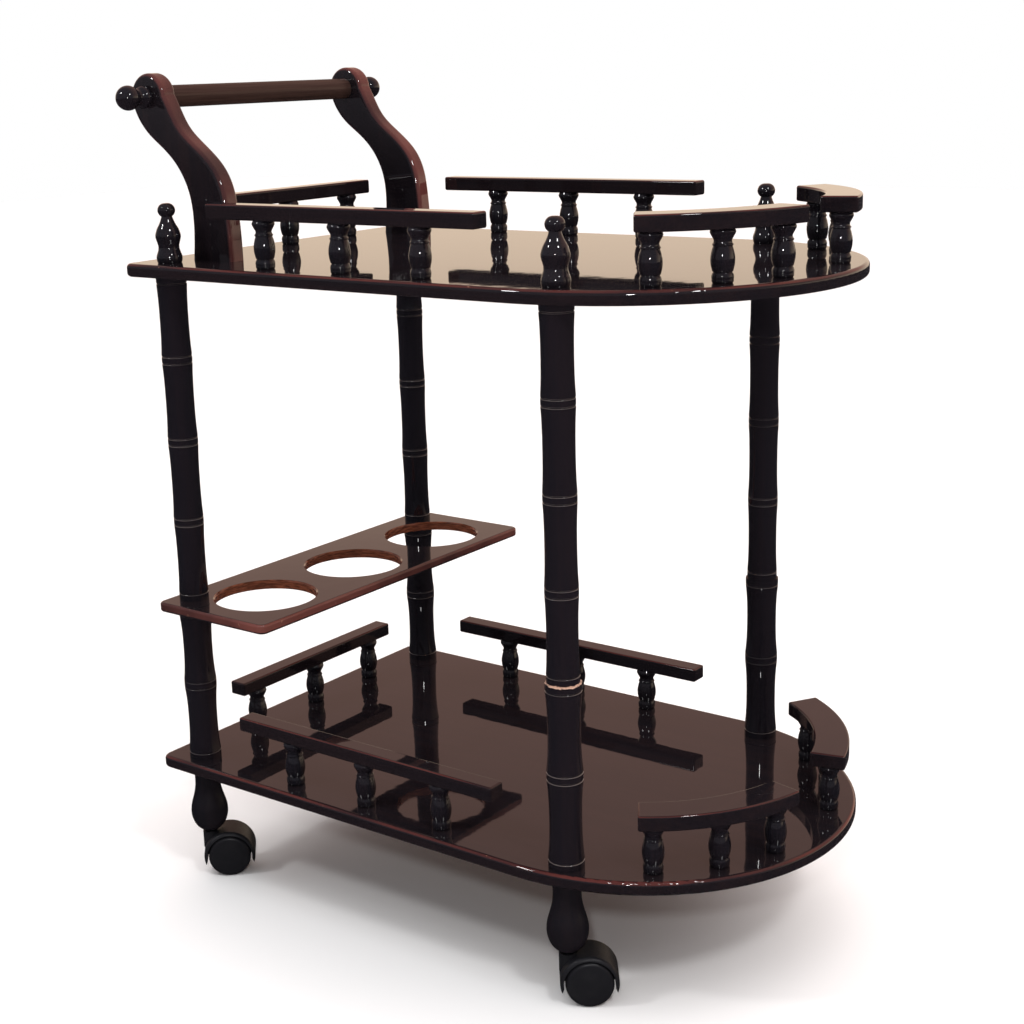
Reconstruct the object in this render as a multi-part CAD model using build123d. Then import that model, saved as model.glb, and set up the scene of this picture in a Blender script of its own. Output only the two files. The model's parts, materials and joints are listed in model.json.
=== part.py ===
from build123d import *
import os
from math import cos, radians, sin

# Bar cart on wheels: two shelves with a square handle end and a round front end, four
# bamboo-turned posts, a bottle rack, spindle galleries, a raised push handle and four
# twin-wheel casters. Millimetres. +X runs along the cart to the round front end, +Y
# across it, +Z up. The origin is on the floor, under the middle of the whole cart.

# ---- driving dimensions ----------------------------------------------------------------
SHELF_WIDTH = 420.0
SHELF_THICK = 13.0
SHELF_END_X = -323.0          # square end, where the handle is
ARC_X = 140.5                 # centre of the round end; its radius is half the width
SHELF_CORNER_R = 11.0
SHELF_EDGE_R = 4.0
LOWER_SHELF_Z = 119.5         # underside of the lower shelf
CLEAR_HEIGHT = 506.5          # between the two shelves

POST_BACK_X = -282.5
POST_FRONT_X = 177.5
POST_Y = 183.5
POST_WAIST_R = 14.1
POST_NODE_R = 15.1
BASE_WAIST_R = 14.8
BASE_NODE_R = 16.6
NODE_BAND = 7.0               # between the two grooves of a node, and from an end to its ring
GROOVE_WIDTH = 1.7
GROOVE_DEPTH = 0.75
SEGMENTS_ABOVE = 4            # bamboo segments of the upper post piece
SEGMENTS_BELOW = 2            # and of the lower one

RACK_BACK_X = -305.0
RACK_FRONT_X = -156.0
RACK_HALF_WIDTH = 214.5
RACK_THICK = 10.0
RACK_TOP_Z = 306.5            # the post pieces meet here
RACK_CORNER_R = 8.0
RACK_EDGE_R = 2.5
HOLE_X = -225.0
HOLE_PITCH = 137.5
HOLE_R = 52.5
HOLE_EDGE_R = 1.5

RAIL_GAP = 45.0               # shelf to underside of a rail
RAIL_HEIGHT = 14.5
RAIL_WIDTH = 20.0
RAIL_EDGE_R = 2.0
SIDE_RAIL_Y = 185.0
SIDE_RAIL_X = -57.5
SIDE_RAIL_LENGTH = 320.0
END_RAIL_X = -292.0
END_RAIL_LENGTH = 244.0
CURVED_RAIL_R = 186.0         # centreline radius, about the round end's centre
CURVED_RAIL_WIDTH = 33.0
CURVED_RAIL_MIDDLE = 35.8     # degrees from the nose to the middle of a curved rail
CURVED_RAIL_SPAN = 45.6       # degrees
SPINDLE_PITCH = 93.5
SPINDLE_TURN = 18.7           # degrees between the spindles of a curved rail
TENON_R = 3.5
TENON_LENGTH = 7.0

BRACKET_Y = 148.0
BRACKET_THICK = 20.0
BRACKET_EDGE_R = 5.0
HANDLE_X = -327.5
HANDLE_RISE = 158.5           # handle axis above the top shelf
HEAD_R = 23.0
HANDLE_R = 11.0
HANDLE_TENON_R = 6.0
KNOB_R = 12.1
KNOB_OFFSET = 23.6            # bracket face to ball centre
COLLAR_R = 11.0

FOOT_BOTTOM_Z = 50.0
FOOT_END_R = 9.5
STUD_R = 3.0
STUD_REACH = 28.0             # how far a stud goes into each wooden piece
FINIAL_STUD_REACH = 16.0
SCREW_R = 2.5
SCREW_REACH = 25.0            # how far a bracket screw goes into the bracket
SCREW_HEAD_R = 5.0
SCREW_HEAD_DEPTH = 3.0
SCREW_BACK_X = -264.0
SCREW_FRONT_X = -237.0

TRAIL = 18.8                  # caster wheel axle behind the swivel axis
BACK_TRAIL_TURN = 43.0        # degrees from +X; the two sides of the cart mirror each other
FRONT_TRAIL_TURN = 36.0
WHEEL_R = 22.3
WHEEL_INNER = 4.9             # wheel faces, from the middle of the caster
WHEEL_OUTER = 19.6
HOOD_R = 27.0
HOOD_HALF_WIDTH = 19.0
HOOD_EDGE_R = 4.0
HOOD_TIP = (25.4, -9.3)       # lower edge of the hood, from the axle: its pointed tips,
HOOD_NOTCH = (23.2, -2.5)     # the notches inside them
HOOD_WEB = (16.0, -8.0)       # and the flat below the web
POCKET_R = 23.6
WEB_HALF_THICK = 4.4
BOSS_R = 8.6
BOSS_TOP_Z = 47.0
STEM_R = 4.0
STEM_TOP_Z = 87.0
STEM_BOTTOM_Z = 29.0
COLLAR_TOP_Z = 48.6
SOCKET_R = 5.5
SOCKET_TOP_Z = 88.0
FLANGE_R = 8.5
FLANGE_BOTTOM_Z = 48.9
AXLE_R = 2.5
AXLE_HALF = 15.0
RUNNING_GAP = 0.05            # radial clearance of a turning pair

# ---- levels and places that follow from them --------------------------------------------
LOWER_TOP_Z = LOWER_SHELF_Z + SHELF_THICK
UPPER_SHELF_Z = LOWER_TOP_Z + CLEAR_HEIGHT
UPPER_TOP_Z = UPPER_SHELF_Z + SHELF_THICK
HANDLE_Z = UPPER_TOP_Z + HANDLE_RISE
RACK_BOTTOM_Z = RACK_TOP_Z - RACK_THICK
BRACKET_FACE_Y = BRACKET_Y + BRACKET_THICK / 2
SHELF_R = SHELF_WIDTH / 2

SCREW_TOP_Z = UPPER_TOP_Z + SCREW_REACH
TENON_TIP = BRACKET_FACE_Y + 13.0   # end of the handle tenon, inside the knob

STUD_SPANS = {
    "foot": (LOWER_SHELF_Z - STUD_REACH, LOWER_TOP_Z + STUD_REACH),
    "joint": (RACK_BOTTOM_Z - STUD_REACH, RACK_TOP_Z + STUD_REACH),
    "finial": (UPPER_SHELF_Z - STUD_REACH, UPPER_TOP_Z + FINIAL_STUD_REACH),
}

CORNERS = {
    "near_back": (POST_BACK_X, -POST_Y),
    "near_front": (POST_FRONT_X, -POST_Y),
    "far_back": (POST_BACK_X, POST_Y),
    "far_front": (POST_FRONT_X, POST_Y),
}


# ---- helpers -----------------------------------------------------------------------------
def turned(start, *steps):
    """Solid turned about Z. Points are (radius, height); each step is a line, arc or curve."""
    makers = {"line": Line, "arc": ThreePointArc, "curve": Spline}
    here = start
    edges = [Line((0, 0, here[1]), (here[0], 0, here[1]))]
    for kind, *spots in steps:
        edges.append(makers[kind](*[(r, 0, z) for r, z in (here, *spots)]))
        here = spots[-1]
    if here[0] > 0:
        edges.append(Line((here[0], 0, here[1]), (0, 0, here[1])))
    edges.append(Line((0, 0, here[1]), (0, 0, start[1])))
    return revolve(make_face(edges), Axis.Z)


def groove(radius, height):
    """Steps that cut one fine ring into a turned piece."""
    half = GROOVE_WIDTH / 2
    return [
        ("line", (radius, height - half)),
        ("arc", (radius - GROOVE_DEPTH, height), (radius, height + half)),
    ]


def rod(radius, bottom, top, x=0.0, y=0.0):
    """Upright round rod."""
    return Pos(x, y, (bottom + top) / 2) * Cylinder(radius, top - bottom)


def ease(solid, radius):
    """Round all edges of the top and bottom faces of a flat board."""
    levels = solid.edges().group_by(Axis.Z)
    return fillet(levels[0] + levels[-1], radius)


def side_sign(name):
    return -1 if name.startswith("near") else 1


# ---- shelves -----------------------------------------------------------------------------
def spindle_places():
    """(rail name, x, y) of the fifteen spindles of one shelf."""
    places = []
    for step in (-1, 0, 1):
        for side, sign in (("near", -1), ("far", 1)):
            places.append((side, SIDE_RAIL_X + step * SPINDLE_PITCH, sign * SIDE_RAIL_Y))
            turn = radians(sign * (CURVED_RAIL_MIDDLE + step * SPINDLE_TURN))
            x = ARC_X + CURVED_RAIL_R * cos(turn)
            places.append((side + "_curved", x, CURVED_RAIL_R * sin(turn)))
        places.append(("end", END_RAIL_X, step * SPINDLE_PITCH))
    return places


def shelf_board(bottom):
    straight = ARC_X - SHELF_END_X
    square = Pos(SHELF_END_X + straight / 2, 0) * Rectangle(straight, SHELF_WIDTH)
    square = fillet(square.vertices().group_by(Axis.X)[0], SHELF_CORNER_R)
    nose = Pos(ARC_X, 0) * Circle(SHELF_R)
    board = ease(Pos(0, 0, bottom) * extrude(square + nose, SHELF_THICK), SHELF_EDGE_R)
    top = bottom + SHELF_THICK
    for x, y in CORNERS.values():
        board -= rod(STUD_R, bottom, top, x, y)
    for _, x, y in spindle_places():
        board -= rod(TENON_R, top - TENON_LENGTH, top, x, y)
    return board


def screw_places():
    """Two screws under each handle bracket."""
    return [(x, sign * BRACKET_Y) for sign in (-1, 1) for x in (SCREW_BACK_X, SCREW_FRONT_X)]


def bracket_screw(x, y):
    """Countersunk screw driven up through the top shelf."""
    screw = turned(
        (SCREW_HEAD_R, UPPER_SHELF_Z),
        ("line", (SCREW_R, UPPER_SHELF_Z + SCREW_HEAD_DEPTH)),
        ("line", (SCREW_R, SCREW_TOP_Z - 2 * SCREW_R)),
        ("line", (0.4, SCREW_TOP_Z)),
    )
    return Pos(x, y, 0) * screw


def top_shelf():
    board = shelf_board(UPPER_SHELF_Z)
    for x, y in screw_places():
        board -= bracket_screw(x, y)
    return board


# ---- posts, feet, finials ----------------------------------------------------------------
def bamboo_post(bottom, top, segments, waist_r, node_r):
    """Waisted segments between double grooves, with one ring near each end."""
    pitch = (top - bottom) / segments
    rings = [bottom + NODE_BAND]
    for k in range(1, segments):
        rings += [bottom + k * pitch - NODE_BAND / 2, bottom + k * pitch + NODE_BAND / 2]
    rings.append(top - NODE_BAND)
    steps = []
    for k in range(segments):
        low, high = rings[2 * k], rings[2 * k + 1]
        start_z = low + GROOVE_WIDTH / 2
        span = high - GROOVE_WIDTH / 2 - start_z
        shoulder_r = waist_r + 0.35 * (node_r - waist_r)
        steps += groove(node_r, low)
        steps.append(("curve",
                      (shoulder_r, start_z + 0.17 * span),
                      (waist_r, start_z + 0.50 * span),
                      (shoulder_r, start_z + 0.83 * span),
                      (node_r, start_z + span)))
        steps += groove(node_r, high)[1:]
    steps.append(("line", (node_r, top)))
    return turned((node_r, bottom), *steps)


def drilled_for_studs(solid):
    """Cut the holes of the three studs that share one post axis."""
    for low, high in STUD_SPANS.values():
        solid -= rod(STUD_R, low, high)
    return solid


def post_lower(corner):
    """Lower post piece; at the handle end the rack is clamped on top of it."""
    top = RACK_BOTTOM_Z if corner.endswith("back") else RACK_TOP_Z
    return drilled_for_studs(bamboo_post(LOWER_TOP_Z, top, SEGMENTS_BELOW, BASE_WAIST_R, BASE_NODE_R))


def post_upper():
    post = bamboo_post(RACK_TOP_Z, UPPER_SHELF_Z, SEGMENTS_ABOVE, POST_WAIST_R, POST_NODE_R)
    return drilled_for_studs(post)


def finial():
    """Turned knob that screws down on the post stud."""
    z = UPPER_TOP_Z
    solid = turned(
        (11.7, z),
        ("arc", (12.7, z + 5.0), (11.5, z + 9.8)),
        ("curve", (10.7, z + 12.4), (10.2, z + 15.4), (10.6, z + 18.4), (11.7, z + 22.2),
         (12.4, z + 26.3), (11.6, z + 30.3), (10.3, z + 33.8), (8.5, z + 37.0),
         (6.8, z + 40.6), (5.3, z + 45.2)),
        ("arc", (8.6, z + 51.1), (1.7, z + 58.0)),
        ("line", (0.0, z + 58.0)),
    )
    return drilled_for_studs(solid)


def foot():
    """Vase-shaped turned foot, bored below for the caster socket."""
    z = FOOT_BOTTOM_Z
    solid = turned(
        (FOOT_END_R, z),
        ("curve", (13.8, z + 3.6), (17.3, z + 9.6), (19.3, z + 18.5),
         (18.7, z + 27.0), (16.0, z + 37.0), (13.7, z + 47.0), (13.1, z + 57.0),
         (13.5, LOWER_SHELF_Z)),
    )
    return drilled_for_studs(solid) - rod(SOCKET_R, z, SOCKET_TOP_Z)


# ---- bottle rack --------------------------------------------------------------------------
def bottle_rack():
    length = RACK_FRONT_X - RACK_BACK_X
    plan = RectangleRounded(length, 2 * RACK_HALF_WIDTH, RACK_CORNER_R)
    plan = Pos(RACK_BACK_X + length / 2, 0) * plan
    board = ease(Pos(0, 0, RACK_BOTTOM_Z) * extrude(plan, RACK_THICK), RACK_EDGE_R)
    for step in (-1, 0, 1):
        hole = turned(
            (HOLE_R + HOLE_EDGE_R, RACK_BOTTOM_Z),
            ("line", (HOLE_R, RACK_BOTTOM_Z + HOLE_EDGE_R)),
            ("line", (HOLE_R, RACK_TOP_Z - HOLE_EDGE_R)),
            ("line", (HOLE_R + HOLE_EDGE_R, RACK_TOP_Z)),
        )
        board -= Pos(HOLE_X, step * HOLE_PITCH, 0) * hole
    for sign in (-1, 1):
        board -= rod(STUD_R, RACK_BOTTOM_Z, RACK_TOP_Z, POST_BACK_X, sign * POST_Y)
    return board


# ---- gallery rails and spindles --------------------------------------------------------------
def spindle():
    """Turned spindle with a tenon at each end, standing at height 0."""
    solid = turned(
        (8.2, 0),
        ("arc", (9.0, 1.4), (9.1, 3.2)),
        ("curve", (9.3, 5.6), (8.5, 8.4)),
        ("arc", (7.9, 9.0), (8.6, 9.7)),
        ("curve", (9.7, 14.0), (10.2, 19.0), (9.4, 25.5), (7.9, 30.4)),
        ("arc", (8.7, 31.5), (7.9, 32.6)),
        ("curve", (7.5, 34.2), (8.7, 37.4), (10.3, 40.4)),
        ("arc", (10.7, 42.2), (10.1, 43.8)),
        ("line", (9.6, RAIL_GAP)),
    )
    return solid + rod(TENON_R, -TENON_LENGTH, RAIL_GAP + TENON_LENGTH)


def spindles(shelf_top):
    one = spindle()
    return Compound([Pos(x, y, shelf_top) * one for _, x, y in spindle_places()])


def curved_rail(sign):
    """Crescent sawn from a board, concentric with the round end."""
    half = CURVED_RAIL_WIDTH / 2
    ring = Circle(CURVED_RAIL_R + half) - Circle(CURVED_RAIL_R - half)
    reach = 2 * SHELF_R
    first = CURVED_RAIL_MIDDLE - CURVED_RAIL_SPAN / 2
    last = CURVED_RAIL_MIDDLE + CURVED_RAIL_SPAN / 2
    far_corners = [(reach * cos(radians(a)), sign * reach * sin(radians(a))) for a in (first, last)]
    wedge = make_face(Polyline((0, 0), *far_corners, close=True))
    return Pos(ARC_X, 0) * (ring & wedge)


def rail_plans():
    """Plan shape of each rail of one shelf."""
    side = Rectangle(SIDE_RAIL_LENGTH, RAIL_WIDTH)
    return {
        "near": Pos(SIDE_RAIL_X, -SIDE_RAIL_Y) * side,
        "far": Pos(SIDE_RAIL_X, SIDE_RAIL_Y) * side,
        "end": Pos(END_RAIL_X, 0) * Rectangle(RAIL_WIDTH, END_RAIL_LENGTH),
        "near_curved": curved_rail(-1),
        "far_curved": curved_rail(1),
    }


def rail(name, plan, shelf_top):
    bottom = shelf_top + RAIL_GAP
    bar = extrude(plan, RAIL_HEIGHT)
    bar = Pos(0, 0, bottom) * fillet(bar.edges(), RAIL_EDGE_R)
    for owner, x, y in spindle_places():
        if owner == name:
            bar -= rod(TENON_R, bottom, bottom + TENON_LENGTH, x, y)
    return bar


# ---- push handle -----------------------------------------------------------------------------
def handle_bracket(sign):
    """S-shaped plank: a broad foot on the shelf, sweeping back to a round head."""
    z = UPPER_TOP_Z
    base_back, base_front = -278.0, -223.5
    head_back = (HANDLE_X - HEAD_R, HANDLE_Z - 2.0)
    head_top = (HANDLE_X, HANDLE_Z + HEAD_R)
    head_front = (HANDLE_X + HEAD_R, HANDLE_Z + 2.0)
    back_edge = [(-275.5, z + 22), (-275.0, z + 42), (-277.6, z + 62), (-285.0, z + 80),
                 (-297.0, z + 96), (-313.0, z + 109.5), (-331.0, z + 123.0), (-343.5, z + 138.0)]
    front_edge = [(-296.0, z + 145.0), (-286.5, z + 130.0), (-271.0, z + 116.0), (-254.0, z + 103.0),
                  (-240.0, z + 89.0), (-230.5, z + 71.0), (-226.0, z + 48.0), (-224.0, z + 22)]
    outline = [
        Line((base_front, z), (base_back, z)),
        Spline((base_back, z), *back_edge, head_back),
        ThreePointArc(head_back, head_top, head_front),
        Spline(head_front, *front_edge, (base_front, z)),
    ]
    face = Plane.XZ * make_face(outline)
    middle = sign * BRACKET_Y
    plank = Pos(0, middle, 0) * extrude(face, BRACKET_THICK / 2, both=True)
    faces_y = plank.edges().group_by(Axis.Y)
    long_edges = [edge for edge in faces_y[0] + faces_y[-1] if edge.center().Z > z + 1]
    plank = fillet(long_edges, BRACKET_EDGE_R)
    bore = Pos(HANDLE_X, middle, HANDLE_Z) * Rot(90, 0, 0) * Cylinder(HANDLE_TENON_R, 2 * BRACKET_THICK)
    plank -= bore
    for x, y in screw_places():
        plank -= bracket_screw(x, y)
    return plank


def across(solid, sign=1):
    """Lay a piece turned about Z along the handle axis; +Z becomes outward."""
    return Pos(HANDLE_X, 0, HANDLE_Z) * Rot(-90 * sign, 0, 0) * solid


def handle_bar():
    """Round dowel between the brackets, with a turned-down tenon at each end."""
    shoulder = BRACKET_Y - BRACKET_THICK / 2
    return across(rod(HANDLE_R, -shoulder, shoulder) + rod(HANDLE_TENON_R, -TENON_TIP, TENON_TIP))


def handle_knob(sign):
    """Ball, neck and collar that cap the tenon."""
    face = BRACKET_FACE_Y
    ball = face + KNOB_OFFSET
    neck = radians(41)
    knob = turned(
        (COLLAR_R - 1.2, face),
        ("arc", (COLLAR_R, face + 4.2), (COLLAR_R - 1.6, face + 8.2)),
        ("curve", (8.1, face + 10.0), (7.4, face + 12.0), (KNOB_R * sin(neck), ball - KNOB_R * cos(neck))),
        ("arc", (KNOB_R, ball), (0.0, ball + KNOB_R)),
    )
    return across(knob - rod(HANDLE_TENON_R, face, TENON_TIP), sign)


# ---- casters -----------------------------------------------------------------------------------
def caster_place(name, solid):
    """Move a caster piece from its own frame (swivel axis at 0, trail along +X) to a corner."""
    x, y = CORNERS[name]
    turn = FRONT_TRAIL_TURN if name.endswith("front") else BACK_TRAIL_TURN
    return Pos(x, y, 0) * Rot(0, 0, -side_sign(name) * turn) * solid


def on_axle(solid):
    """Lay a piece turned about Z on the wheel axle, its +Z towards +Y of the caster."""
    return Pos(TRAIL, 0, WHEEL_R) * Rot(-90, 0, 0) * solid


def caster_hood(name):
    """Moulded body: rounded hood over both wheels, centre web, and boss for the stem."""
    half, corner = HOOD_HALF_WIDTH, HOOD_EDGE_R
    bevel = corner * (1 - cos(radians(45)))
    shell = turned(
        (HOOD_R - corner, -half),
        ("arc", (HOOD_R - bevel, -half + bevel), (HOOD_R, -half + corner)),
        ("line", (HOOD_R, half - corner)),
        ("arc", (HOOD_R - bevel, half - bevel), (HOOD_R - corner, half)),
    )
    hood = on_axle(shell) + rod(BOSS_R, WHEEL_R + 6.0, BOSS_TOP_Z)
    pocket = rod(POCKET_R, WEB_HALF_THICK, half + corner)
    hood -= on_axle(pocket) + on_axle(Rot(180, 0, 0) * pocket)
    lower_edge = [HOOD_WEB, HOOD_NOTCH, HOOD_TIP, (2 * HOOD_R, HOOD_TIP[1]), (2 * HOOD_R, -2 * HOOD_R)]
    outline = lower_edge + [(-x, z) for x, z in reversed(lower_edge)]
    cut = extrude(Plane.XZ * make_face(Polyline(*outline, close=True)), 2 * half, both=True)
    hood -= Pos(TRAIL, 0, WHEEL_R) * cut
    hood -= rod(STEM_R, STEM_BOTTOM_Z, BOSS_TOP_Z) + on_axle(rod(AXLE_R, -half, half))
    return caster_place(name, hood)


def caster_stem(name):
    """Steel pin with a stop collar; it turns in the foot's socket."""
    stem = rod(STEM_R, STEM_BOTTOM_Z, STEM_TOP_Z - 2) + rod(STEM_R + 2.5, BOSS_TOP_Z, COLLAR_TOP_Z)
    tip = turned((STEM_R, STEM_TOP_Z - 2), ("line", (STEM_R - 1.5, STEM_TOP_Z)))
    return caster_place(name, stem + tip)


def caster_sockets():
    """Flanged steel sleeves pressed into the feet."""
    sleeve = rod(SOCKET_R, FOOT_BOTTOM_Z, SOCKET_TOP_Z) + rod(FLANGE_R, FLANGE_BOTTOM_Z, FOOT_BOTTOM_Z)
    sleeve -= rod(STEM_R + RUNNING_GAP, FLANGE_BOTTOM_Z, SOCKET_TOP_Z)
    return Compound([Pos(x, y, 0) * sleeve for x, y in CORNERS.values()])


def caster_axle(name):
    return caster_place(name, on_axle(rod(AXLE_R, -AXLE_HALF, AXLE_HALF)))


def caster_wheel(name, sign):
    """Moulded wheel: crowned tread, domed outer face, blind bore."""
    r, low, high = WHEEL_R, WHEEL_INNER, WHEEL_OUTER
    wheel = turned(
        (r - 3.0, low),
        ("arc", (r - 0.8, low + 0.9), (r, low + 3.2)),
        ("line", (r, high - 4.4)),
        ("arc", (r - 1.2, high - 1.5), (r - 4.2, high - 0.3)),
        ("curve", (r - 12.0, high + 0.65), (0.0, high + 1.0)),
    )
    wheel -= rod(AXLE_R + RUNNING_GAP, low, AXLE_HALF + 0.4)
    side = Rot(180, 0, 0) * wheel if sign < 0 else wheel
    return caster_place(name, on_axle(side))


# ---- write the parts -----------------------------------------------------------------------------
os.makedirs("parts", exist_ok=True)


def save(name, shape):
    export_step(shape, f"parts/{name}.step")


save("top_shelf", top_shelf())
save("lower_shelf", shelf_board(LOWER_SHELF_Z))
save("bottle_rack", bottle_rack())

for corner, (post_x, post_y) in CORNERS.items():
    on_post = Pos(post_x, post_y, 0)
    save(f"post_upper_{corner}", on_post * post_upper())
    save(f"post_lower_{corner}", on_post * post_lower(corner))
    save(f"finial_{corner}", on_post * finial())
    save(f"foot_{corner}", on_post * foot())
    save(f"caster_hood_{corner}", caster_hood(corner))
    save(f"caster_stem_{corner}", caster_stem(corner))
    save(f"caster_axle_{corner}", caster_axle(corner))
    save(f"caster_wheel_{corner}_left", caster_wheel(corner, 1))
    save(f"caster_wheel_{corner}_right", caster_wheel(corner, -1))

for shelf, shelf_top in (("top", UPPER_TOP_Z), ("lower", LOWER_TOP_Z)):
    save(f"{shelf}_spindles", spindles(shelf_top))
    for rail_name, rail_plan in rail_plans().items():
        save(f"{shelf}_rail_{rail_name}", rail(rail_name, rail_plan, shelf_top))

save("handle_bracket_near", handle_bracket(-1))
save("handle_bracket_far", handle_bracket(1))
save("handle_bar", handle_bar())
save("handle_knob_near", handle_knob(-1))
save("handle_knob_far", handle_knob(1))

save("caster_sockets", caster_sockets())
save("post_studs", Compound([rod(STUD_R, low, high, x, y)
                             for x, y in CORNERS.values() for low, high in STUD_SPANS.values()]))
save("bracket_screws", Compound([bracket_screw(x, y) for x, y in screw_places()]))
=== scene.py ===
import json
from math import cos, radians, sin

import bpy
from mathutils import Matrix, Vector


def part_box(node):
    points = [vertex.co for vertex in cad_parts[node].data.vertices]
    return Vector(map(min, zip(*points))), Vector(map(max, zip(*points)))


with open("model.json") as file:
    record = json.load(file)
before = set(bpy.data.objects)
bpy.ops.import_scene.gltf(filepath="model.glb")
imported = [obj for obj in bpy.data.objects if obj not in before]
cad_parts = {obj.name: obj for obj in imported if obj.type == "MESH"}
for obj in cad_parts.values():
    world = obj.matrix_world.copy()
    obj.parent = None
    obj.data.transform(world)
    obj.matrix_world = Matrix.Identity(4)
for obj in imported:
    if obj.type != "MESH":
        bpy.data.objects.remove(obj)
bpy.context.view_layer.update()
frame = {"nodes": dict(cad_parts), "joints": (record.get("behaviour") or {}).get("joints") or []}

# Looks of the bar cart: dark cherry lacquer on every wooden piece, moulded black casters.
# Metres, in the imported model's frame: +X to the round end, the push handle at -X, +Z up.
# Colours are linear. A noise scale is in cells per metre. A *_SPAN is the pair of values
# between which a smooth step goes from 0 to 1.

# ---- camera ---------------------------------------------------------------------------------
CAMERA_PLACE = Vector((0.97197, -1.33797, 0.82970))
CAMERA_TURN = 37.72        # degrees that it stands round from -Y towards +X
CAMERA_TILT = 13.94        # degrees below level
CAMERA_ROLL = -1.82
CAMERA_LENS = 59.77        # mm
CAMERA_SENSOR = 36.0       # mm
CAMERA_SHIFT = (0.0431, -0.0222)

# ---- colours --------------------------------------------------------------------------------
WINE = (0.0080, 0.0064, 0.0082)
WINE_LIGHT = (0.0125, 0.0082, 0.0095)
# Painted highlight and wear: red of the brackets' rounded front faces and edges
BRACKET_WEAR_AND_HIGHLIGHT = (0.1400, 0.0420, 0.0360)
HOLE_RED = (0.2000, 0.0620, 0.0330)
# Painted highlight and wear: red of the upward rounded edges of the shelves and rails
EDGE_WEAR_AND_HIGHLIGHT = (0.0900, 0.0210, 0.0170)
RACK_RED = (0.1700, 0.0560, 0.0450)
# Painted highlight and wear: light grey on the sloped flanks of the post rings
RING_WEAR_AND_HIGHLIGHT = (0.1500, 0.1250, 0.1150)
EBONY = (0.0070, 0.0064, 0.0090)
EBONY_LIGHT = (0.0105, 0.0078, 0.0100)
UMBER = (0.0300, 0.0150, 0.0120)
UMBER_LIGHT = (0.0560, 0.0310, 0.0250)
BARE_WOOD = (0.6200, 0.3300, 0.2000)
JOINT_WOOD = (0.6200, 0.4000, 0.3000)
NYLON = (0.0100, 0.0098, 0.0120)
NYLON_DUSTY = (0.0180, 0.0175, 0.0190)
NYLON_SCUFF = (0.0300, 0.0290, 0.0280)
ZINC = (0.5600, 0.5650, 0.5800)
ZINC_DULL = (0.3600, 0.3650, 0.3800)
BLACK_STEEL = (0.0450, 0.0450, 0.0480)
BLACK_STEEL_DULL = (0.0220, 0.0220, 0.0240)
FLOOR_COLOUR = (0.90, 0.898, 0.893)
WHITE = (1.0, 1.0, 1.0)
WARM_WHITE = (1.0, 0.97, 0.93)

# ---- node helpers ---------------------------------------------------------------------------
MIX_SHARE, MIX_FIRST, MIX_SECOND, MIX_RESULT = 0, 6, 7, 2      # sockets of a colour Mix node
UP = (0, 0, 1)
SIDEWAYS = (0, 1, 0)
NOISE_MEAN = 0.5
NOISE_SPAN = (0.3, 0.7)    # nearly the whole range of a noise
FULL_SPAN = (0.0, 1.0)


def scaled(factor, values):
    return tuple(factor * value for value in values)


class Nodes:
    """Short calls that build the nodes of one tree."""

    def __init__(self, tree):
        self.tree = tree

    def add(self, kind, inputs, **settings):
        node = self.tree.nodes.new(kind)
        for key, value in settings.items():
            setattr(node, key, value)
        for key, value in inputs.items():
            self.put(node.inputs[key], value)
        return node

    def put(self, socket, value):
        if isinstance(value, bpy.types.NodeSocket):
            self.tree.links.new(value, socket)
        elif socket.type == "RGBA":
            socket.default_value = (*value, 1.0)
        else:
            socket.default_value = value

    def maths(self, operation, *values):
        inputs = dict(enumerate(values))
        return self.add("ShaderNodeMath", inputs, operation=operation).outputs[0]

    def mix(self, share, first, second):
        inputs = {MIX_SHARE: share, MIX_FIRST: first, MIX_SECOND: second}
        return self.add("ShaderNodeMix", inputs, data_type="RGBA").outputs[MIX_RESULT]

    def split(self, vector):
        return self.add("ShaderNodeSeparateXYZ", {0: vector}).outputs

    def step(self, value, span, out=(0.0, 1.0)):
        """Smooth step of value over the span, from out's first number to its second."""
        inputs = dict(enumerate((value, *span, *out)))
        return self.add("ShaderNodeMapRange", inputs, interpolation_type="SMOOTHSTEP").outputs[0]


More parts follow.
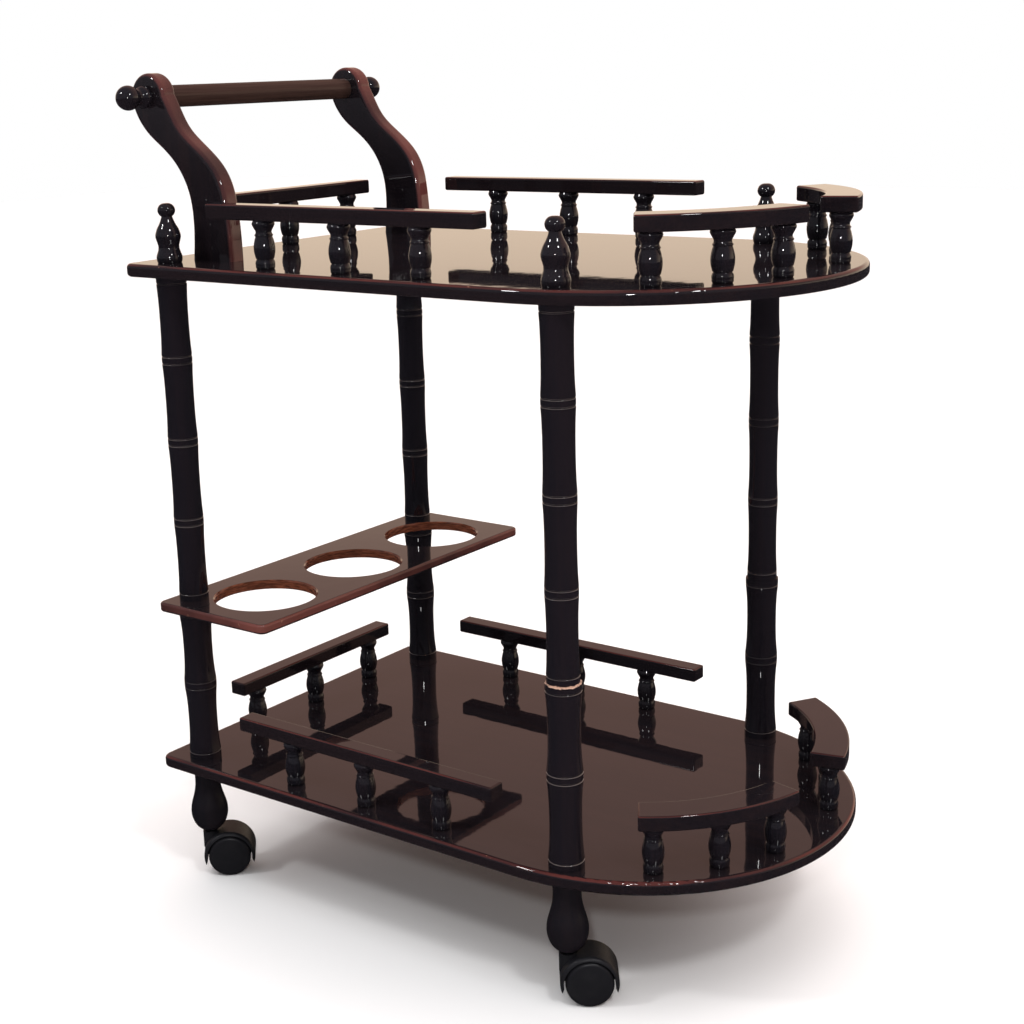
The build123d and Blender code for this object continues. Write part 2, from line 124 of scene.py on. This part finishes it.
class Finish(Nodes):
    """One procedural material."""

    def __init__(self, name):
        self.material = bpy.data.materials.new(name)
        self.material.use_nodes = True
        super().__init__(self.material.node_tree)
        self.shader = self.tree.nodes["Principled BSDF"]
        coords = self.tree.nodes.new("ShaderNodeTexCoord")
        self.place = coords.outputs["Object"]
        self.normal = coords.outputs["Normal"]

    def set(self, **values):
        """Sets the shader's own sockets; coat_weight means "Coat Weight"."""
        for key, value in values.items():
            socket = key.replace("_", " ").title().replace("Ior", "IOR")
            self.put(self.shader.inputs[socket], value)

    def so_far(self, socket):
        """The output that feeds a shader socket now."""
        return self.shader.inputs[socket].links[0].from_socket

    def stretch(self, scale, turn=0.0):
        """Object coordinates turned about Z by so many degrees and scaled per axis."""
        inputs = {"Vector": self.place, "Rotation": (0, 0, radians(turn)), "Scale": scale}
        return self.add("ShaderNodeMapping", inputs, vector_type="POINT").outputs[0]

    def noise(self, vector, scale, detail, roughness=0.5):
        inputs = {"Vector": vector, "Scale": scale, "Detail": detail, "Roughness": roughness}
        return self.add("ShaderNodeTexNoise", inputs).outputs[0]

    def bump(self, height, distance, below=None):
        """Bump of that height in metres, on top of another one."""
        inputs = {"Height": height, "Distance": distance, "Strength": 1.0}
        if below is not None:
            inputs["Normal"] = below
        return self.add("ShaderNodeBump", inputs).outputs[0]

    def facing(self, axis, both_ways=True):
        """How far the surface faces along an axis, 0 to 1."""
        inputs = {0: self.normal, 1: axis}
        node = self.add("ShaderNodeVectorMath", inputs, operation="DOT_PRODUCT")
        towards = node.outputs["Value"]
        return self.maths("ABSOLUTE", towards) if both_ways else towards

    def between(self, value, low, rise, fall, high):
        """1 between rise and fall, 0 below low and above high."""
        rising = self.step(value, (low, rise))
        return self.maths("MULTIPLY", rising, self.step(value, (fall, high), (1.0, 0.0)))


# ---- wood -----------------------------------------------------------------------------------
GRAIN_ALONG = 7.0
GRAIN_ACROSS = 420.0
BROAD_GRAIN = 0.12         # scale of the broad figure against the fine streaks
STREAK_SHARE = 0.55        # of the tone; the broad figure makes up the rest
TONE_SPAN = (0.38, 0.64)
CLOUD_SCALE = 9.0
STAIN_ROUGHNESS = (0.30, 0.42)
WEAR_AND_HIGHLIGHT_SPAN = (0.30, 0.62)   # clouds that break up the edge colour, wear and painted highlight alike
WEAR_AND_HIGHLIGHT_SHARE = (0.15, 0.9)
SPECK_SCALE = 190.0
SPECK_SPAN = (0.68, 0.75)
SPECK_SHARE = 0.5
BRACKET_SPECK_SHARE = 0.15
PORE_SCALE = 2.3           # against the fine streaks
PORE_SPAN = (0.30, 0.42)
PORE_DEPTH = 0.000012
RIPPLE_SCALE = 60.0
RIPPLE_DEPTH = 0.00006
COAT_RIPPLE_DEPTH = 0.00003
LACQUER_IOR = 1.52
FULL_GLOSS = (1.0, 0.03)   # weight and roughness of the clear coat
SATIN = (0.35, 0.28)

# Edges and rings painted in another colour, partly as wear and partly as painted highlight (the
# rack's edges as wear only): an axis, if both ways along it count, and how far the surface faces
# along it where the mark starts, is full, starts to fade and ends.
BOARD_EDGES = (UP, False, 0.42, 0.62, 0.86, 0.98)
RACK_EDGES = (UP, False, -0.30, 0.10, 0.86, 0.98)
BRACKET_EDGES = (SIDEWAYS, True, -1.0, -0.5, 0.70, 0.99)
RINGS = (UP, True, 0.50, 0.70, 0.97, 1.0)


def grain_scale(axis):
    return tuple(GRAIN_ALONG if letter == axis else GRAIN_ACROSS for letter in "XYZ")


def lacquer(name, dark, light, axis, turn=0.0, wear_and_highlight=None, wear_and_highlight_colour=EDGE_WEAR_AND_HIGHLIGHT,
            specks=SPECK_SHARE, gloss=FULL_GLOSS):
    """Clear lacquer over stained wood with its grain along one axis. On the masked edges the
    stain
    is painted thinner and redder: wear, and on shelves, rails, brackets and post rings also a
    painted highlight. A few rubbed specks of bare wood."""
    finish = Finish(name)
    along = finish.stretch(grain_scale(axis), turn)
    streaks = finish.noise(along, 1.0, detail=6.0, roughness=0.62)
    figure = finish.stretch(scaled(BROAD_GRAIN, grain_scale(axis)), turn)
    broad = finish.noise(figure, 1.0, detail=2.0)
    clouds = finish.noise(finish.place, CLOUD_SCALE, detail=2.0)
    tone = finish.maths("ADD", finish.maths("MULTIPLY", streaks, STREAK_SHARE),
                        finish.maths("MULTIPLY", broad, 1.0 - STREAK_SHARE))
    colour = finish.mix(finish.step(tone, TONE_SPAN), dark, light)
    if wear_and_highlight is not None:
        facing_axis, both_ways, *limits = wear_and_highlight
        edge = finish.between(finish.facing(facing_axis, both_ways), *limits)
        # painted highlight and wear: the masked edges take the edge colour in clouds
        worn_and_lit = finish.maths("MULTIPLY", edge, finish.step(clouds, WEAR_AND_HIGHLIGHT_SPAN, WEAR_AND_HIGHLIGHT_SHARE))
        colour = finish.mix(worn_and_lit, colour, wear_and_highlight_colour)
        grit = finish.noise(finish.place, SPECK_SCALE, detail=3.0, roughness=0.65)
        rubbed = finish.maths("MULTIPLY", edge, finish.step(grit, SPECK_SPAN))
        colour = finish.mix(finish.maths("MULTIPLY", rubbed, specks), colour, BARE_WOOD)
    pores = finish.step(finish.noise(along, PORE_SCALE, detail=2.0), PORE_SPAN)
    ripple = finish.noise(finish.place, RIPPLE_SCALE, detail=1.0)
    waves = finish.bump(pores, PORE_DEPTH, finish.bump(ripple, RIPPLE_DEPTH))
    coat_weight, coat_roughness = gloss
    finish.set(base_color=colour, roughness=finish.step(clouds, NOISE_SPAN, STAIN_ROUGHNESS),
               normal=waves, specular_ior_level=0.0, coat_weight=coat_weight,
               coat_roughness=coat_roughness, coat_ior=LACQUER_IOR,
               coat_normal=finish.bump(ripple, COAT_RIPPLE_DEPTH))
    return finish


JOINT_CHIP_SCALE = 260.0
JOINT_FRONT_SPAN = (-0.004, 0.022)     # how far from the post's middle towards +X and -Y
JOINT_BAND = (0.0002, 0.0009)          # half height of the bare band behind and in front
JOINT_RAGGED = 0.0042                  # height that the chips add to it or take from it
JOINT_EDGE_SPAN = (-0.0002, 0.0004)


def post_with_worn_joint(name, joint_z, middle):
    """Turned lacquer rubbed through to bare wood in a chipped band round the post joint."""
    # its rings are painted light grey, partly wear and partly painted highlight
    finish = lacquer(name, EBONY, EBONY_LIGHT, "Z", wear_and_highlight=RINGS, wear_and_highlight_colour=RING_WEAR_AND_HIGHLIGHT)
    x, y, z = finish.split(finish.place)
    rise = finish.maths("ABSOLUTE", finish.maths("SUBTRACT", z, joint_z))
    front = finish.maths("SUBTRACT", finish.maths("SUBTRACT", x, middle.x),
                         finish.maths("SUBTRACT", y, middle.y))
    chips = finish.noise(finish.place, JOINT_CHIP_SCALE, detail=4.0, roughness=0.6)
    ragged = finish.maths("MULTIPLY", finish.maths("SUBTRACT", chips, NOISE_MEAN), JOINT_RAGGED)
    reach = finish.maths("ADD", finish.step(front, JOINT_FRONT_SPAN, JOINT_BAND), ragged)
    bare = finish.step(finish.maths("SUBTRACT", reach, rise), JOINT_EDGE_SPAN)
    finish.set(base_color=finish.mix(bare, finish.so_far("Base Color"), JOINT_WOOD))
    return finish


RACK_BORDER = 0.012        # plain board between the rack's outer edge and its holes
RACK_BORDER_BLEND = 0.001
HOLE_WALL_SPAN = (0.92, 0.75)          # how far the surface faces up or down
FIBRE_SCALE = (90.0, 90.0, 900.0)
FIBRE_SPAN = (0.35, 0.62)
FIBRE_SHADE = 0.35


def rack_with_raw_holes(name):
    """Rack board whose sawn hole walls took only a thin wash of red stain."""
    finish = lacquer(name, WINE, WINE_LIGHT, "Y", wear_and_highlight=RACK_EDGES, wear_and_highlight_colour=RACK_RED)
    low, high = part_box("bottle_rack")
    split = finish.split(finish.place)
    inside = 1.0
    for axis in (0, 1):
        off_centre = finish.maths("SUBTRACT", split[axis], (low[axis] + high[axis]) / 2)
        reach = (high[axis] - low[axis]) / 2 - RACK_BORDER
        border_span = (reach + RACK_BORDER_BLEND, reach)
        inner = finish.step(finish.maths("ABSOLUTE", off_centre), border_span)
        inside = finish.maths("MULTIPLY", inside, inner)
    upright = finish.step(finish.facing(UP), HOLE_WALL_SPAN)
    wall = finish.maths("MULTIPLY", inside, upright)
    fibres = finish.noise(finish.stretch(FIBRE_SCALE), 1.0, detail=4.0, roughness=0.6)
    stain = finish.mix(finish.step(fibres, FIBRE_SPAN), HOLE_RED, scaled(FIBRE_SHADE, HOLE_RED))
    finish.set(base_color=finish.mix(wall, finish.so_far("Base Color"), stain),
               roughness=finish.maths("MAXIMUM", finish.so_far("Roughness"), wall))
    return finish


# ---- casters and hardware -------------------------------------------------------------------
DUST_SCALE = 70.0
DUST_SPAN = (0.45, 0.75)
DUST_SHARE = 0.35          # everywhere, and so much more where the surface faces up:
DUST_SHARE_UP = 0.5
UPWARD_SPAN = (0.1, 1.0)
NYLON_ROUGHNESS = (0.36, 0.50)
NYLON_TEXTURE_DEPTH = 0.00004
HOOD_TEXTURE = 1100.0
WHEEL_TEXTURE = 1500.0
WHEEL_ROUGHNESS = (0.34, 0.62)         # of the dome and the tread
TREAD_SPAN = (0.45, 0.20)              # how far the surface faces along the axle
SCUFF_SCALE = 320.0
SCUFF_SPAN = (0.48, 0.66)


def nylon(name, texture):
    """Moulded black nylon with a fine spark-eroded texture and a little dust."""
    finish = Finish(name)
    haze = finish.noise(finish.place, DUST_SCALE, detail=4.0, roughness=0.6)
    upward = finish.step(finish.split(finish.normal)[2], UPWARD_SPAN)
    settled = finish.maths("ADD", DUST_SHARE, finish.maths("MULTIPLY", upward, DUST_SHARE_UP))
    dust = finish.maths("MULTIPLY", finish.step(haze, DUST_SPAN), settled)
    skin = finish.noise(finish.place, texture, detail=2.0)
    finish.set(base_color=finish.mix(dust, NYLON, NYLON_DUSTY), specular_ior_level=0.25,
               roughness=finish.step(skin, NOISE_SPAN, NYLON_ROUGHNESS),
               normal=finish.bump(skin, NYLON_TEXTURE_DEPTH))
    return finish


def wheel_nylon(name, axle):
    """Black nylon wheel: smooth dome, duller tread scuffed grey."""
    finish = nylon(name, WHEEL_TEXTURE)
    tread = finish.step(finish.facing(axle), TREAD_SPAN)
    grit = finish.noise(finish.place, SCUFF_SCALE, detail=5.0, roughness=0.7)
    scuffed = finish.maths("MULTIPLY", tread, finish.step(grit, SCUFF_SPAN))
    finish.set(base_color=finish.mix(scuffed, finish.so_far("Base Color"), NYLON_SCUFF),
               roughness=finish.step(tread, FULL_SPAN, WHEEL_ROUGHNESS))
    return finish


PATCH_SCALE = 160.0
PATCH_SPAN = (0.40, 0.65)
STEEL_ROUGHNESS = (0.24, 0.42)         # of bright and dull plating
LINE_SCALE = (300.0, 300.0, 2600.0)
LINE_DEPTH = 0.00001


def steel(name, bright, dull):
    """Drawn steel with fine lines and dull patches in its plating."""
    finish = Finish(name)
    patches = finish.step(finish.noise(finish.place, PATCH_SCALE, detail=4.0), PATCH_SPAN)
    lines = finish.noise(finish.stretch(LINE_SCALE), 1.0, detail=2.0)
    finish.set(base_color=finish.mix(patches, bright, dull), metallic=1.0,
               roughness=finish.step(patches, FULL_SPAN, STEEL_ROUGHNESS),
               normal=finish.bump(lines, LINE_DEPTH))
    return finish


# ---- dressing the CAD nodes -----------------------------------------------------------------
CORNERS = ("near_back", "near_front", "far_back", "far_front")
SHELVES = ("top", "lower")
CHORD_TURN = 35.8          # degrees that a curved rail's board is turned on the shelf


def dress(finish, *names):
    for name in names:
        slots = frame["nodes"][name].data.materials
        slots.clear()
        slots.append(finish.material)


# Shelves and rails: upward rounded edges painted red, partly wear and partly painted highlight;
# downward edges stay dark.
board = lacquer("board_lacquer", WINE, WINE_LIGHT, "X", wear_and_highlight=BOARD_EDGES)
dress(board, "top_shelf", "lower_shelf")
dress(rack_with_raw_holes("rack_lacquer"), "bottle_rack")

side_rail = lacquer("side_rail_lacquer", WINE, WINE_LIGHT, "X", wear_and_highlight=BOARD_EDGES)
end_rail = lacquer("end_rail_lacquer", WINE, WINE_LIGHT, "Y", wear_and_highlight=BOARD_EDGES)
near_curve = lacquer("near_curve_lacquer", WINE, WINE_LIGHT, "Y", -CHORD_TURN, BOARD_EDGES)
far_curve = lacquer("far_curve_lacquer", WINE, WINE_LIGHT, "Y", CHORD_TURN, BOARD_EDGES)
turned = lacquer("turned_lacquer", EBONY, EBONY_LIGHT, "Z")
for shelf in SHELVES:
    dress(side_rail, f"{shelf}_rail_near", f"{shelf}_rail_far")
    dress(end_rail, f"{shelf}_rail_end")
    dress(near_curve, f"{shelf}_rail_near_curved")
    dress(far_curve, f"{shelf}_rail_far_curved")
    dress(turned, f"{shelf}_spindles")

foot = lacquer("foot_lacquer", EBONY, EBONY_LIGHT, "Z", gloss=SATIN)
# Posts: the sloped flanks of their rings are painted light grey, partly worn lacquer and partly
# painted highlight.
post = lacquer("post_lacquer", EBONY, EBONY_LIGHT, "Z", wear_and_highlight=RINGS, wear_and_highlight_colour=RING_WEAR_AND_HIGHLIGHT)
for corner in CORNERS:
    dress(post, f"post_upper_{corner}", f"post_lower_{corner}")
    dress(turned, f"finial_{corner}")
    dress(foot, f"foot_{corner}")

low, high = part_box("post_upper_near_front")
worn_post = post_with_worn_joint("worn_post_lacquer", low.z, (low + high) / 2)
dress(worn_post, "post_upper_near_front", "post_lower_near_front")

# Brackets: every face but the flat sides is painted red, partly thinned stain and partly painted
# highlight.
bracket = lacquer("bracket_lacquer", WINE, WINE_LIGHT, "Z", wear_and_highlight=BRACKET_EDGES,
                  wear_and_highlight_colour=BRACKET_WEAR_AND_HIGHLIGHT, specks=BRACKET_SPECK_SHARE)
dress(bracket, "handle_bracket_near", "handle_bracket_far")
dress(lacquer("handle_lacquer", UMBER, UMBER_LIGHT, "Y", gloss=SATIN), "handle_bar")
knob = lacquer("knob_lacquer", EBONY, EBONY_LIGHT, "Y")
dress(knob, "handle_knob_near", "handle_knob_far")

hood = nylon("hood_nylon", HOOD_TEXTURE)
bright_steel = steel("zinc_steel", ZINC, ZINC_DULL)
black_steel = steel("black_steel", BLACK_STEEL, BLACK_STEEL_DULL)
axles = {joint["child"]: joint["axis"] for joint in frame["joints"]}
for corner in CORNERS:
    dress(hood, f"caster_hood_{corner}")
    dress(black_steel, f"caster_stem_{corner}")
    dress(bright_steel, f"caster_axle_{corner}")
    wheel = wheel_nylon(f"wheel_nylon_{corner}", axles[f"wheel_{corner}_left"])
    dress(wheel, f"caster_wheel_{corner}_left", f"caster_wheel_{corner}_right")
dress(black_steel, "caster_sockets")
dress(bright_steel, "post_studs", "bracket_screws")

# ---- floor ----------------------------------------------------------------------------------
FLOOR_HALF = 9.0
FLOOR_ROUGHNESS = 0.75
FLOOR_SPECULAR = 0.15
MOTTLE_SCALE = 3.0
MOTTLE_SHADE = 0.985


def pale_floor():
    """Large plain floor under the wheels, with no mirror image in the gloss."""
    outline = ((-1, -1, 0), (1, -1, 0), (1, 1, 0), (-1, 1, 0))
    mesh = bpy.data.meshes.new("floor")
    mesh.from_pydata([scaled(FLOOR_HALF, point) for point in outline], [], [(0, 1, 2, 3)])
    floor = bpy.data.objects.new("floor", mesh)
    bpy.context.scene.collection.objects.link(floor)
    finish = Finish("floor_paint")
    mottle = finish.noise(finish.place, MOTTLE_SCALE, detail=2.0)
    finish.set(base_color=finish.mix(mottle, FLOOR_COLOUR, scaled(MOTTLE_SHADE, FLOOR_COLOUR)),
               roughness=FLOOR_ROUGHNESS, specular_ior_level=FLOOR_SPECULAR)
    mesh.materials.append(finish.material)
    floor.visible_glossy = False


# ---- world ----------------------------------------------------------------------------------
WORLD_FRONT = (0.20, 0.195, 0.22)
WORLD_BELOW = (0.035, 0.032, 0.036)
WORLD_BACK_LOW = (1.10, 0.86, 0.65)
WORLD_BACK_HIGH = (0.58, 0.35, 0.29)
WALL_HEIGHT_SPAN = (0.10, 0.34)        # of the direction's Z
WALL_DEPTH_SPAN = (-0.15, 0.55)        # of the direction's Y
GROUND_SPAN = (-0.06, 0.0)             # of the direction's Z


def studio_world():
    """White to the camera. As light it is a cream wall beyond the far side, a dim room in front
    of the near side, and a dark ground under both."""
    world = bpy.data.worlds.new("studio")
    world.use_nodes = True
    bpy.context.scene.world = world
    nodes = Nodes(world.node_tree)
    direction = nodes.add("ShaderNodeTexCoord", {}).outputs["Generated"]
    split = nodes.split(direction)
    wall = nodes.mix(nodes.step(split[2], WALL_HEIGHT_SPAN), WORLD_BACK_LOW, WORLD_BACK_HIGH)
    around = nodes.mix(nodes.step(split[1], WALL_DEPTH_SPAN), WORLD_FRONT, wall)
    room = nodes.mix(nodes.step(split[2], GROUND_SPAN), WORLD_BELOW, around)
    seen = nodes.add("ShaderNodeLightPath", {}).outputs["Is Camera Ray"]
    background = world.node_tree.nodes["Background"]
    nodes.put(background.inputs["Color"], nodes.mix(seen, room, WHITE))
    nodes.put(background.inputs["Strength"], 1.0)


# ---- lights ---------------------------------------------------------------------------------
SUN_POWER = 3.1            # lights the floor to white
SUN_SPREAD = 100.0         # degrees
SUN_TOWARDS = Vector((0.25, 0.45, 2.0))
AIM = Vector((0.0, 0.0, 0.45))
FLASH_PLACE = CAMERA_PLACE + Vector((-0.05, -0.04, 0.16))

# Name, place, width, watts, colour, and if the gloss shows its image.
LAMPS = (
    ("left_fill", Vector((-3.2, -1.6, 2.2)), 1.6, 8.0, WARM_WHITE, False),
    ("flash", FLASH_PLACE, 0.09, 5.0, WHITE, True),
    ("lamp_left", Vector((-1.5, -2.1, 2.6)), 0.34, 22.0, WHITE, True),
    ("lamp_right", Vector((1.9, -0.9, 2.4)), 0.34, 18.0, WHITE, True),
)


def sun_light(name):
    """Broad even daylight from above, with no mirror image in the gloss."""
    data = bpy.data.lights.new(name, "SUN")
    data.energy = SUN_POWER
    data.angle = radians(SUN_SPREAD)
    light = bpy.data.objects.new(name, data)
    light.rotation_euler = SUN_TOWARDS.to_track_quat("Z", "Y").to_euler()
    light.visible_glossy = False
    bpy.context.scene.collection.objects.link(light)


def soft_light(name, place, width, power, colour, mirrored):
    """Square lamp aimed at the cart, which the camera doesn't see."""
    data = bpy.data.lights.new(name, "AREA")
    data.size = width
    data.energy = power
    data.color = colour
    light = bpy.data.objects.new(name, data)
    light.location = place
    light.rotation_euler = (AIM - place).to_track_quat("-Z", "Y").to_euler()
    light.visible_camera = False
    light.visible_glossy = mirrored
    bpy.context.scene.collection.objects.link(light)


pale_floor()
studio_world()
sun_light("overhead")
for lamp in LAMPS:
    soft_light(*lamp)


# ---- camera ---------------------------------------------------------------------------------
def camera_axes(turn, tilt, roll):
    """Columns right, up, back of the camera."""
    forward = Vector((-sin(turn) * cos(tilt), cos(turn) * cos(tilt), -sin(tilt)))
    level = Vector((cos(turn), sin(turn), 0.0))
    upright = level.cross(forward)
    right = cos(roll) * level + sin(roll) * upright
    up = -sin(roll) * level + cos(roll) * upright
    return Matrix((right, up, -forward)).transposed()


lens = bpy.data.cameras.new("camera")
lens.sensor_width = CAMERA_SENSOR
lens.lens = CAMERA_LENS
lens.shift_x, lens.shift_y = CAMERA_SHIFT
camera = bpy.data.objects.new("camera", lens)
axes = camera_axes(radians(CAMERA_TURN), radians(CAMERA_TILT), radians(CAMERA_ROLL))
camera.matrix_world = Matrix.Translation(CAMERA_PLACE) @ axes.to_4x4()
bpy.context.scene.collection.objects.link(camera)
bpy.context.scene.camera = camera
bpy.context.scene.view_settings.view_transform = "Standard"
